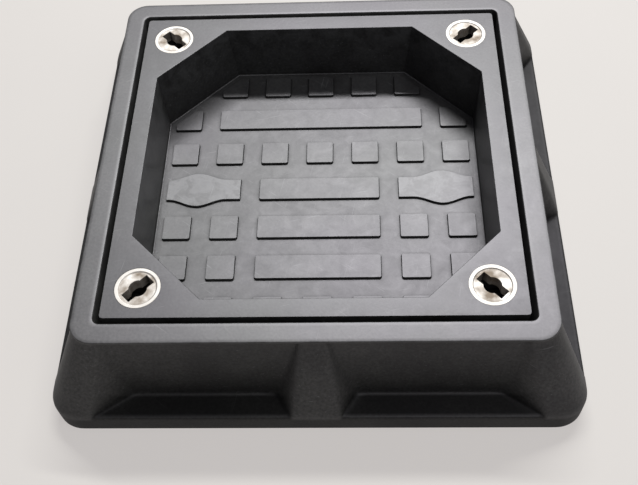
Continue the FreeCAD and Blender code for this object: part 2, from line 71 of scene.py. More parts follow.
def linear(code: str) -> Colour:
    """Turn an sRGB hex colour into linear light.

    Args:
        code: Six hex digits.

    Returns:
        Linear red, green, blue and a full alpha.
    """
    shares = [int(code[start:start + 2], 16) / 255 for start in (0, 2, 4)]
    red, green, blue = (c / 12.92 if c <= 0.04045 else ((c + 0.055) / 1.055) ** 2.4 for c in shares)
    return red, green, blue, 1.0


def per_metre(size: float) -> float:
    """Scale of a pattern whose marks are a given number of millimetres apart."""
    return 1 / (size * MM)


def add_node(tree: bpy.types.NodeTree, kind: str, inputs: dict[str | int, object] | None = None,
             **settings: object) -> bpy.types.Node:
    """Add a node with its settings, socket values and links.

    Args:
        tree: Tree that gets the node.
        kind: Type of the node.
        inputs: Values, or sockets to link from, by the input's name or number.
        settings: Properties of the node itself.

    Returns:
        The new node.
    """
    node = tree.nodes.new(kind)
    for name, value in settings.items():
        setattr(node, name, value)
    for key, value in (inputs or {}).items():
        if isinstance(value, bpy.types.NodeSocket):
            tree.links.new(value, node.inputs[key])
        else:
            node.inputs[key].default_value = value
    return node


def new_material(name: str) -> tuple[bpy.types.Material, bpy.types.NodeTree]:
    """Start a material with an empty tree.

    Args:
        name: Name of the finish.

    Returns:
        The material and its tree.
    """
    material = bpy.data.materials.new(name)
    material.use_nodes = True
    material.node_tree.nodes.clear()
    return material, material.node_tree


@dataclass(frozen=True)
class MouldedComposite:
    """Charcoal glass-filled compound, pressed hot in a steel mould.

    The eye sees a dark satin skin with a patchy sheen on the smooth level faces, dull and grainy on the
    upright ones, with a few pale scratches and rubbed edges, one of them a painted highlight. Painted shade
    darkens its colour and sheen in creases and hollows, and in the recesses marked in the vertex layer.
    """

    name: str
    body: str
    cloud: str
    scuff: str
    roughness: float = 0.5
    patch_gloss: float = 0.03
    rubbed_gloss: float = 0.03
    rubbed_and_highlight_share: float = 0.32
    level_slope: float = 0.95
    upright_slope: float = 0.6
    upright_roughness: float = 0.12
    sheen: float = 0.85
    upright_sheen: float = 0.42
    density: float = 1.62
    warm_tint: str = "f1f4f0"
    cool_tint: str = "f3ecf8"
    tint_size: float = 170.0
    cloud_size: float = 60.0
    patch_size: float = 16.0
    speck_size: float = 2.4
    scratch_length: float = 34.0
    scratch_width: float = 1.6
    scratch_turns: tuple[float, ...] = (14.0, -37.0, 78.0)
    scratch_onset: float = 0.69
    scratch_full: float = 0.77
    scratch_strength: float = 0.5
    grain_size: float = 2.4
    grain_height: float = 0.05
    grain_strength: float = 0.7
    crease: float = 4.0
    darkest_crease_shade: float = 0.25
    darkest_painted_shade: float = 0.2

    def scratches(self, tree: bpy.types.NodeTree, place: bpy.types.NodeSocket) -> bpy.types.NodeSocket:
        """Draw sparse straight scratches in a few directions.

        Args:
            tree: Tree of the material.
            place: Coordinates of the surface.

        Returns:
            How strongly each point is scratched.
        """
        ways = []
        for turn in self.scratch_turns:
            drawn_out = add_node(tree, "ShaderNodeMapping", {
                "Vector": place, "Rotation": (0.0, 0.0, math.radians(turn)),
                "Scale": (self.scratch_length * MM, self.scratch_width * MM, self.scratch_width * MM)},
                vector_type="TEXTURE")
            marks = add_node(tree, "ShaderNodeTexNoise", {
                "Vector": drawn_out.outputs["Vector"], "Scale": 1.0, "Detail": 2.0})
            sparse = add_node(tree, "ShaderNodeMapRange", {
                "Value": marks.outputs["Fac"], "From Min": self.scratch_onset, "From Max": self.scratch_full,
                "To Max": self.scratch_strength})
            ways.append(sparse.outputs["Result"])
        strength = ways[0]
        for way in ways[1:]:
            strength = add_node(tree, "ShaderNodeMath", {0: strength, 1: way},
                                operation="MAXIMUM").outputs["Value"]
        return strength

    def build(self) -> bpy.types.Material:
        """Make the material.

        Returns:
            The finished material.
        """
        material, tree = new_material(self.name)
        place = add_node(tree, "ShaderNodeTexCoord").outputs["Object"]
        clouds = add_node(tree, "ShaderNodeTexNoise", {
            "Vector": place, "Scale": per_metre(self.cloud_size), "Detail": 4.0, "Roughness": 0.6})
        patches = add_node(tree, "ShaderNodeTexNoise", {
            "Vector": place, "Scale": per_metre(self.patch_size), "Detail": 5.0, "Roughness": 0.62,
            "Distortion": 0.6})
        specks = add_node(tree, "ShaderNodeTexNoise", {
            "Vector": place, "Scale": per_metre(self.speck_size), "Detail": 3.0})
        hues = add_node(tree, "ShaderNodeTexNoise", {
            "Vector": place, "Scale": per_metre(self.tint_size), "Detail": 2.0})
        # The grain of the mould is finer than a pixel, so it is drawn about four times as coarse.
        grain = add_node(tree, "ShaderNodeTexNoise", {
            "Vector": place, "Scale": per_metre(self.grain_size), "Detail": 3.0})
        # Painted shade: ambient occlusion darkens colour and sheen in creases and hollows.
        hollows = add_node(tree, "ShaderNodeAmbientOcclusion", {"Distance": self.crease * MM},
                           samples=CREASE_SAMPLES)

        cloudy = add_node(tree, "ShaderNodeMapRange", {
            "Value": clouds.outputs["Fac"], "From Min": 0.35, "From Max": 0.68})
        speckled = add_node(tree, "ShaderNodeMapRange", {
            "Value": specks.outputs["Fac"], "From Min": 0.3, "From Max": 0.7, "To Min": 0.55, "To Max": 1.5})
        crease_shade = add_node(tree, "ShaderNodeMapRange", {
            "Value": hollows.outputs["AO"], "From Min": 0.3, "From Max": 0.95, "To Min": self.darkest_crease_shade})
        facing = add_node(tree, "ShaderNodeSeparateXYZ", {
            "Vector": add_node(tree, "ShaderNodeNewGeometry").outputs["Normal"]})
        upright = add_node(tree, "ShaderNodeMapRange", {
            "Value": facing.outputs["Z"], "From Min": self.level_slope, "From Max": self.upright_slope})
        worn_and_shaded = add_node(tree, "ShaderNodeAttribute", attribute_name=WEAR_AND_SHADE)
        # Painted shade: where the vertex layer is below zero, colour and sheen are darkened.
        painted_shade = add_node(tree, "ShaderNodeMapRange", {
            "Value": worn_and_shaded.outputs["Fac"], "From Min": -1.0, "From Max": 0.0, "To Min": self.darkest_painted_shade})
        # Painted shade from creases and from the vertex layer, multiplied together.
        unshaded = add_node(tree, "ShaderNodeMath", {
            0: crease_shade.outputs["Result"], 1: painted_shade.outputs["Result"]}, operation="MULTIPLY")
        patchy = add_node(tree, "ShaderNodeMapRange", {
            "Value": patches.outputs["Fac"], "From Min": 0.42, "From Max": 0.62})
        # Pale and glossier where the vertex layer is above zero: rubbed wear, and at the tray's mouth a
        # painted highlight.
        rubbed = add_node(tree, "ShaderNodeMath", {
            0: worn_and_shaded.outputs["Fac"], 1: patchy.outputs["Result"]}, operation="MULTIPLY", use_clamp=True)
        pale = add_node(tree, "ShaderNodeMath", {
            0: rubbed.outputs["Value"], 1: self.rubbed_and_highlight_share}, operation="MULTIPLY")
        marks = add_node(tree, "ShaderNodeMath", {
            0: self.scratches(tree, place), 1: pale.outputs["Value"]}, operation="MAXIMUM")

        flow = add_node(tree, "ShaderNodeMix", {
            "Factor": cloudy.outputs["Result"], "A": linear(self.body), "B": linear(self.cloud)},
            data_type="RGBA")
        specked = add_node(tree, "ShaderNodeMix", {
            "Factor": 1.0, "A": flow.outputs["Result"], "B": speckled.outputs["Result"]},
            data_type="RGBA", blend_type="MULTIPLY")
        scuffed_and_highlit = add_node(tree, "ShaderNodeMix", {
            "Factor": marks.outputs["Value"], "A": specked.outputs["Result"], "B": linear(self.scuff)},
            data_type="RGBA")
        colour = add_node(tree, "ShaderNodeMix", {
            "Factor": 1.0, "A": scuffed_and_highlit.outputs["Result"], "B": unshaded.outputs["Value"]},
            data_type="RGBA", blend_type="MULTIPLY")
        gloss = add_node(tree, "ShaderNodeMapRange", {
            "Value": patches.outputs["Fac"], "From Min": 0.3, "From Max": 0.7,
            "To Min": self.roughness - self.patch_gloss, "To Max": self.roughness + self.patch_gloss})
        polished = add_node(tree, "ShaderNodeMath", {
            0: rubbed.outputs["Value"], 1: -self.rubbed_gloss, 2: gloss.outputs["Result"]},
            operation="MULTIPLY_ADD")
        dulled = add_node(tree, "ShaderNodeMath", {
            0: upright.outputs["Result"], 1: self.upright_roughness, 2: polished.outputs["Value"]},
            operation="MULTIPLY_ADD")
        tint = add_node(tree, "ShaderNodeMix", {
            "Factor": hues.outputs["Fac"], "A": linear(self.warm_tint), "B": linear(self.cool_tint)},
            data_type="RGBA")
        lustre = add_node(tree, "ShaderNodeMapRange", {
            "Value": upright.outputs["Result"], "To Min": self.sheen, "To Max": self.upright_sheen})
        # Sheen level, lowered by painted shade.
        shaded_sheen = add_node(tree, "ShaderNodeMath", {
            0: unshaded.outputs["Value"], 1: lustre.outputs["Result"]}, operation="MULTIPLY")
        relief = add_node(tree, "ShaderNodeBump", {
            "Height": grain.outputs["Fac"], "Strength": self.grain_strength,
            "Distance": self.grain_height * MM})
        skin = add_node(tree, "ShaderNodeBsdfPrincipled", {
            "Base Color": colour.outputs["Result"], "Roughness": dulled.outputs["Value"],
            "IOR": self.density, "Specular IOR Level": shaded_sheen.outputs["Value"],
            "Specular Tint": tint.outputs["Result"], "Normal": relief.outputs["Normal"]})
        add_node(tree, "ShaderNodeOutputMaterial", {"Surface": skin.outputs["BSDF"]})
        return material


@dataclass(frozen=True)
class TurnedSteel:
    """Stainless steel, turned on a lathe and dulled by grit.

    The eye sees a pale rim rubbed free of stain, faint rings round the axis, brown stains in the dish, and a
    slot and hollows darkened almost to black by painted shade.
    """

    name: str
    metal: str = "d3d0cb"
    stain: str = "93887b"
    roughness: float = 0.66
    stain_roughness: float = 0.12
    ring_spacing: float = 1.2
    ring_height: float = 0.03
    ring_strength: float = 0.5
    stain_size: float = 11.0
    dish_radius: float = 15.2
    rim_radius: float = 16.2
    rim_stain: float = 0.2
    crease: float = 9.0
    darkest_crease_shade: float = 0.06

    def build(self) -> bpy.types.Material:
        """Make the material.

        Returns:
            The finished material.
        """
        material, tree = new_material(self.name)
        coordinates = add_node(tree, "ShaderNodeTexCoord")
        # Real turning marks are about 0.2 mm apart, so they are drawn coarser to show.
        rings = add_node(tree, "ShaderNodeTexWave", {
            "Vector": coordinates.outputs["UV"], "Scale": 1 / self.ring_spacing, "Distortion": 0.3,
            "Detail": 2.0}, wave_type="RINGS", rings_direction="Z")
        patches = add_node(tree, "ShaderNodeTexNoise", {
            "Vector": coordinates.outputs["Object"], "Scale": per_metre(self.stain_size), "Detail": 4.0})
        reach = add_node(tree, "ShaderNodeVectorMath", {0: coordinates.outputs["UV"]}, operation="LENGTH")
        dished = add_node(tree, "ShaderNodeMapRange", {
            "Value": reach.outputs["Value"], "From Min": self.dish_radius, "From Max": self.rim_radius,
            "To Min": 1.0, "To Max": self.rim_stain})
        stained = add_node(tree, "ShaderNodeMapRange", {
            "Value": patches.outputs["Fac"], "From Min": 0.36, "From Max": 0.66})
        dirt = add_node(tree, "ShaderNodeMath", {
            0: stained.outputs["Result"], 1: dished.outputs["Result"]}, operation="MULTIPLY")
        bright = add_node(tree, "ShaderNodeMix", {
            "Factor": dirt.outputs["Value"], "A": linear(self.metal), "B": linear(self.stain)},
            data_type="RGBA")
        # Painted shade: ambient occlusion darkens the slot and hollows almost to black.
        hollows = add_node(tree, "ShaderNodeAmbientOcclusion", {"Distance": self.crease * MM},
                           samples=CREASE_SAMPLES)
        crease_shade = add_node(tree, "ShaderNodeMapRange", {
            "Value": hollows.outputs["AO"], "From Min": 0.4, "From Max": 0.85, "To Min": self.darkest_crease_shade})
        colour = add_node(tree, "ShaderNodeMix", {
            "Factor": 1.0, "A": bright.outputs["Result"], "B": crease_shade.outputs["Result"]},
            data_type="RGBA", blend_type="MULTIPLY")
        gloss = add_node(tree, "ShaderNodeMapRange", {
            "Value": dirt.outputs["Value"], "To Min": self.roughness,
            "To Max": self.roughness + self.stain_roughness})
        relief = add_node(tree, "ShaderNodeBump", {
            "Height": rings.outputs["Fac"], "Strength": self.ring_strength,
            "Distance": self.ring_height * MM})
        skin = add_node(tree, "ShaderNodeBsdfPrincipled", {
            "Base Color": colour.outputs["Result"], "Metallic": 1.0, "Roughness": gloss.outputs["Result"],
            "Normal": relief.outputs["Normal"]})
        add_node(tree, "ShaderNodeOutputMaterial", {"Surface": skin.outputs["BSDF"]})
        return material


@dataclass(frozen=True)
class PaleFloor:
    """Pale painted board: almost white and dull, with faint wide clouds and a glow of its own in shadow."""

    name: str = "pale_painted_board"
    light: str = "777570"
    shade: str = "71706b"
    glow: str = "e0dbd9"
    glow_strength: float = 0.64
    roughness: float = 0.7
    cloud_size: float = 240.0

    def build(self) -> bpy.types.Material:
        """Make the material.

        Returns:
            The finished material.
        """
        material, tree = new_material(self.name)
        place = add_node(tree, "ShaderNodeTexCoord").outputs["Object"]
        clouds = add_node(tree, "ShaderNodeTexNoise", {
            "Vector": place, "Scale": per_metre(self.cloud_size), "Detail": 3.0})
        colour = add_node(tree, "ShaderNodeMix", {
            "Factor": clouds.outputs["Fac"], "A": linear(self.light), "B": linear(self.shade)},
            data_type="RGBA")
        board = add_node(tree, "ShaderNodeBsdfPrincipled", {
            "Base Color": colour.outputs["Result"], "Roughness": self.roughness,
            "Emission Color": linear(self.glow), "Emission Strength": self.glow_strength})
        add_node(tree, "ShaderNodeOutputMaterial", {"Surface": board.outputs["BSDF"]})
        return material


class LoopMesh:
    """A mesh that grows from closed outlines: plates across them and walls between them."""

    def __init__(self) -> None:
        """Start an empty mesh that remembers how far each edge is rounded."""
        self.bm = bmesh.new()
        self.weight = self.bm.edges.layers.float.new(BEVEL_WEIGHT)
        self.worn_and_shaded = self.bm.verts.layers.float.new(WEAR_AND_SHADE)

    def box(self, size: Point, level: float, corner: float = 0.0, steps: int = 1,
            middle: Point = (0.0, 0.0), limit: float = math.inf) -> Loop:
        """Outline a rectangle whose corners are cut or rounded.

        Args:
            size: Length along X and width along Y.
            level: Height of the outline.
            corner: How far each corner is cut back along its sides.
            steps: Edges across each corner: one cuts it straight.
            middle: Centre of the rectangle.
            limit: Largest sum of X and Y, where a cut corner of the tray takes a corner off.

        Returns:
            The outline's edges.
        """
        place = Matrix.Translation((*middle, level)) @ Matrix.Diagonal((size[0] / 2, size[1] / 2, 1, 1))
        corners = bmesh.ops.create_grid(self.bm, x_segments=1, y_segments=1, size=1, matrix=place)["verts"]
        face = corners[0].link_faces[0]
        for vertex in corners:
            beyond = abs(vertex.co.x) + abs(vertex.co.y) - limit
            offset, segments = (beyond, 1) if beyond > corner else (corner, steps)
            if offset:
                made = bmesh.ops.bevel(self.bm, geom=[vertex], offset=offset, offset_type="OFFSET",
                                       segments=segments, profile=0.5, affect="VERTICES", material=-1)
                face = made["verts"][0].link_faces[0]
        loop = list(face.edges)
        bmesh.ops.delete(self.bm, geom=[face], context="FACES_ONLY")
        return loop

    def circle(self, radius: float, level: float, middle: Point = (0.0, 0.0), steps: int = 64) -> Loop:
        """Outline a circle.

        Args:
            radius: Radius of the circle.
            level: Height of the outline.
            middle: Centre of the circle.
            steps: Number of edges.

        Returns:
            The outline's edges.
        """
        made = bmesh.ops.create_circle(self.bm, cap_ends=False, radius=radius, segments=steps,
                                       matrix=Matrix.Translation((*middle, level)))
        return list({edge for vertex in made["verts"] for edge in vertex.link_edges})

    def wall(self, first: Loop, second: Loop) -> None:
        """Join two outlines with a wall."""
        bmesh.ops.bridge_loops(self.bm, edges=first + second)

    def plate(self, *loops: Loop) -> None:
        """Fill the flat space between an outline and those inside it.

        The fill drops faces between outlines that line up, so they are turned askew for it and back.

        Args:
            loops: The outer outline, then the holes.
        """
        edges = [edge for loop in loops for edge in loop]
        verts = list({vertex for edge in edges for vertex in edge.verts})
        askew = Matrix.Rotation(ASKEW, 3, "Z")
        bmesh.ops.rotate(self.bm, verts=verts, cent=(0, 0, 0), matrix=askew)
        bmesh.ops.triangle_fill(self.bm, edges=edges, use_beauty=True, use_dissolve=False)
        bmesh.ops.rotate(self.bm, verts=verts, cent=(0, 0, 0), matrix=askew.inverted())

    def soften(self, loop: Loop, radius: float, wear_and_shade: float = 0.0) -> None:
        """Ask for rounded edges along an outline.

        Args:
            loop: The outline's edges.
            radius: How far they are rounded.
            wear_and_shade: Above zero where they are rubbed pale, which at the tray's mouth is also a
                painted highlight; below zero where painted shade darkens them.
        """
        for edge in loop:
            edge[self.weight] = radius / WIDEST_BEVEL
            for vertex in edge.verts:
                vertex[self.worn_and_shaded] = wear_and_shade


@dataclass
class Piece:
    """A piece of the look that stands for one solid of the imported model."""

    node: str
    slot: str

    def settle(self, bm: bmesh.types.BMesh, material: bpy.types.Material) -> bpy.types.Object:
        """Turn a mesh drawn in millimetres into an object in place of its solid.

        Args:
            bm: The drawn mesh, which is used up.
            material: Finish of the piece.

        Returns:
            The new object.
        """
        bmesh.ops.remove_doubles(bm, verts=bm.verts, dist=MERGE)
        bmesh.ops.recalc_face_normals(bm, faces=bm.faces)
        bmesh.ops.scale(bm, vec=(MM, MM, MM), verts=bm.verts)
        name = f"{self.node}_look"
        mesh = bpy.data.meshes.new(name)
        bm.to_mesh(mesh)
        bm.free()
        mesh.shade_smooth()
        mesh.materials.append(material)
        piece = bpy.data.objects.new(name, mesh)
        bpy.context.scene.collection.objects.link(piece)
        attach(piece, "root")
        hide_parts(self.node)
        return piece

    def round_edges(self, piece: bpy.types.Object, steps: int) -> None:
        """Round the edges that were asked to be soft and keep the flats flat.

        Args:
            piece: Object whose mesh has bevel weights.
            steps: Faces across each rounded edge.
        """
        piece.data.set_sharp_from_angle(angle=math.radians(SHARP_ANGLE))
        bevel = piece.modifiers.new("rounded_edges", "BEVEL")
        bevel.limit_method = "WEIGHT"
        bevel.width = WIDEST_BEVEL * MM
        bevel.segments = steps
        bevel.profile = 0.5
        flats = piece.modifiers.new("flat_faces", "WEIGHTED_NORMAL")
        flats.keep_sharp = True


class Zone(Enum):
    """Stretches of half a side of the skirt, counted from its middle to its corner."""

    BUTTRESS = 0
    BUTTRESS_FLANK = 1
    POCKET = 2
    CORNER_FLANK = 3
    CORNER_FACE = 4
    CORNER_ROUND = 5


class Station(NamedTuple):
    """One ring of the frame's cross-section.

    It has half the ring's width, the radius of its corners, its level, how far up the skirt it lies as a
    share, how rubbed it is or how far painted shade darkens it, and whether the pockets cut into it.
    """

    half: float
    radius: float
    level: float
    climb: float
    wear_and_shade: float = 0.0
    pocketed: bool = False


@dataclass
class FrameShell(Piece):
    """The moulded frame: flange, flared skirt with pockets and buttresses, land, well and ledge."""

    flange_half: float = 223.0
    flange_radius: float = 25.0
    flange_height: float = 21.0
    skirt_half: float = 191.2
    skirt_radius: float = 17.8
    lip_foot: float = 93.0
    land_half: float = 192.4
    land_radius: float = 19.0
    height: float = 96.0
    well_half: float = 175.0
    well_radius: float = 6.0
    ledge: float = 20.0
    opening_half: float = 150.0
    opening_radius: float = 20.0
    wall_foot: float = 200.0
    wall_top: float = 188.2
    buttress_toe: float = 19.0
    buttress_foot: float = 34.0
    buttress_top: float = 10.0
    corner_toe: float = 188.0
    corner_foot: float = 153.6
    corner_top: float = 168.4
    toe_round: float = 2.0
    rim: float = 3.0
    edge: float = 1.0
    floor_share: float = 1 / 3
    # Painted shade on the flange's foot and in the pockets: at their front edge, on their floor and up their
    # walls.
    foot_painted_shade: float = -0.75
    toe_wear: float = 0.3
    toe_painted_shade: float = -0.5
    floor_painted_shade: float = -1.0
    wall_painted_shade: float = -0.6
    lip_wear: float = 0.3
    brow_wear: float = 0.4
    crest_wear: float = 1.0
    land_wear: float = 0.3

    columns: ClassVar[dict[Zone, tuple[float, ...]]] = {
        Zone.BUTTRESS: (0.0, 0.6),
        Zone.BUTTRESS_FLANK: (0.0, 0.4, 0.75),
        Zone.POCKET: (0.0, 0.05, 0.2, 0.4, 0.6, 0.8, 0.95),
        Zone.CORNER_FLANK: (0.0, 0.28, 0.78),
        Zone.CORNER_FACE: (0.0, 0.3),
        Zone.CORNER_ROUND: tuple(step / 6 for step in range(7)),
    }
    climbs: ClassVar[tuple[float, ...]] = (0.0, 0.05, 0.18, 0.29, 1 / 3, 0.38, 0.5, 0.7, 0.92, 1.0)

    def stations(self) -> list[Station]:
        """Rings of the cross-section, from the outer foot up over the land and down the well.

        Returns:
            The rings in order. The last is the first again.
        """
        edge = self.edge
        flange = (self.flange_half, self.flange_radius)
        land = (self.land_half, self.land_radius)
        well = (self.well_half, self.well_radius)
        opening = (self.opening_half, self.opening_radius)
        foot = [Station(*flange, level, 0.0, self.foot_painted_shade)
                for level in (0.0, edge, self.flange_height - self.rim)]
        rise = self.lip_foot - self.flange_height
        skirt = [
            Station(self.flange_half + climb * (self.skirt_half - self.flange_half),
                    self.flange_radius + climb * (self.skirt_radius - self.flange_radius),
                    self.flange_height + climb * rise, climb, self.toe_wear if climb == 0 else 0.0, True)
            for climb in self.climbs]
        top = self.height
        lip = [Station(*land, level, 1.0, wear_and_shade) for level, wear_and_shade in (
            (self.lip_foot, 0.0), (self.lip_foot + edge / 2, self.lip_wear), (top - edge, self.brow_wear),
            (top, self.crest_wear))]
        across = [
            Station(self.land_half - edge, self.land_radius - edge, top, 1.0, self.land_wear),
            Station(self.well_half + edge, self.well_radius + edge, top, 1.0, self.land_wear)]
        inside = [Station(*well, level, 1.0, wear_and_shade) for level, wear_and_shade in (
            (top, self.crest_wear), (top - edge, self.land_wear), (self.ledge + edge, 0.0),
            (self.ledge, 0.0))]
        shelf = [
            Station(self.well_half - edge, self.well_radius, self.ledge, 1.0),
            Station(self.opening_half + edge, self.opening_radius, self.ledge, 1.0)]
        throat = [Station(*opening, level, 1.0) for level in (self.ledge, self.ledge - edge, edge, 0.0)]
        under = [
            Station(self.opening_half + edge, self.opening_radius, 0.0, 1.0),
            Station(self.flange_half - edge, self.flange_radius, 0.0, 0.0)]
        return foot + skirt + lip + across + inside + shelf + throat + under + foot[:1]

    def bounds(self, station: Station) -> list[Vector]:
        """Points of a ring where one stretch of the half side meets the next.

        Args:
            station: The ring.

        Returns:
            Six points, from the side's middle to the start of the rounded corner.
        """
        climb = station.climb
        outer, level = -station.half, station.level
        spine = self.buttress_toe + climb * (self.buttress_top - self.buttress_toe)
        corner = self.corner_toe + climb * (self.corner_top - self.corner_toe)
        if climb <= self.floor_share:
            share = climb / self.floor_share
            low = self.buttress_toe + self.toe_round
            high = self.corner_toe - self.toe_round
            near = low + share * (self.buttress_foot - low)
            far = high + share * (self.corner_foot - high)
            depth, rise = self.flange_half + share * (self.wall_foot - self.flange_half), 0.0
        else:
            share = (climb - self.floor_share) / (1 - self.floor_share)
            near = self.buttress_foot + share * (self.buttress_top + self.toe_round - self.buttress_foot)
            far = self.corner_foot + share * (self.corner_top - 2 * self.toe_round - self.corner_foot)
            depth, rise = self.wall_foot + share * (self.wall_top - self.wall_foot), share
        deep, deep_level = outer, level
        if station.pocketed:
            deep, deep_level = -depth, self.flange_height + rise * (self.lip_foot - self.flange_height)
        straight = station.half - station.radius
        own = self.flange_half - self.flange_radius
        own += climb * (self.skirt_half - self.skirt_radius - own)
        fit = straight / own
        return [
            Vector((0.0, outer, level)), Vector((spine * fit, outer, level)),
            Vector((near * fit, deep, deep_level)), Vector((far * fit, deep, deep_level)),
            Vector((corner * fit, outer, level)), Vector((straight, outer, level))]

    def place(self, zone: Zone, share: float, station: Station) -> Vector:
        """Find one point of the half side.

        Args:
            zone: Stretch of the half side.
            share: How far along that stretch.
            station: Ring of the cross-section.

        Returns:
            The point in millimetres.
        """
        if zone is Zone.CORNER_ROUND:
            turn = share * QUARTER / 2
            middle = station.half - station.radius
            return Vector((middle + station.radius * math.sin(turn),
                           -middle - station.radius * math.cos(turn), station.level))
        start, end = self.bounds(station)[zone.value:zone.value + 2]
        return start.lerp(end, share)

    def wear_and_shade(self, zone: Zone, share: float, station: Station) -> float:
        """Find how rubbed one point is, or how far painted shade darkens it.

        Args:
            zone: Stretch of the half side.
            share: How far along that stretch.
            station: Ring of the cross-section.

        Returns:
            Above zero where the skin is rubbed pale, below zero where painted shade darkens the pockets and
            the flange's foot.
        """
        if not station.pocketed:
            return station.wear_and_shade
        depth = {Zone.BUTTRESS_FLANK: share, Zone.POCKET: 1.0, Zone.CORNER_FLANK: 1 - share}.get(zone, 0.0)
        # Painted shade: deepest on the pocket floor, fading up the walls.
        if station.climb == 0:
            pocket_shade = self.toe_painted_shade
        elif station.climb < self.floor_share:
            pocket_shade = self.floor_painted_shade
        else:
            pocket_shade = self.wall_painted_shade * (1 - station.climb) / (1 - self.floor_share)
        return station.wear_and_shade + depth * (pocket_shade - station.wear_and_shade)

    def build(self, material: bpy.types.Material) -> bpy.types.Object:
        """Shape half a side from a grid, mirror it, turn it round and dress it.

        Args:
            material: Finish of the frame.

        Returns:
            The frame's object.
        """
        columns = [(zone, share) for zone, shares in self.columns.items() for share in shares]
        rows = self.stations()
        bm = bmesh.new()
        worn_and_shaded = bm.verts.layers.float.new(WEAR_AND_SHADE)
        grid = bmesh.ops.create_grid(bm, x_segments=len(columns) - 1, y_segments=len(rows) - 1, size=0.5)
        for vertex in grid["verts"]:
            column = round((vertex.co.x + 0.5) * (len(columns) - 1))
            row = round((vertex.co.y + 0.5) * (len(rows) - 1))
            zone, share = columns[column]
            vertex.co = self.place(zone, share, rows[row])
            vertex[worn_and_shaded] = self.wear_and_shade(zone, share, rows[row])
        bmesh.ops.mirror(bm, geom=bm.verts[:] + bm.edges[:] + bm.faces[:], axis="X", merge_dist=MERGE)
        bmesh.ops.spin(bm, geom=bm.verts[:] + bm.edges[:] + bm.faces[:], cent=(0, 0, 0), axis=(0, 0, 1),
                       angle=3 * QUARTER, steps=3, use_duplicate=True)
        piece = self.settle(bm, material)
        smooth = piece.modifiers.new("moulded_rounds", "SUBSURF")
        smooth.levels = smooth.render_levels = 1
        return piece


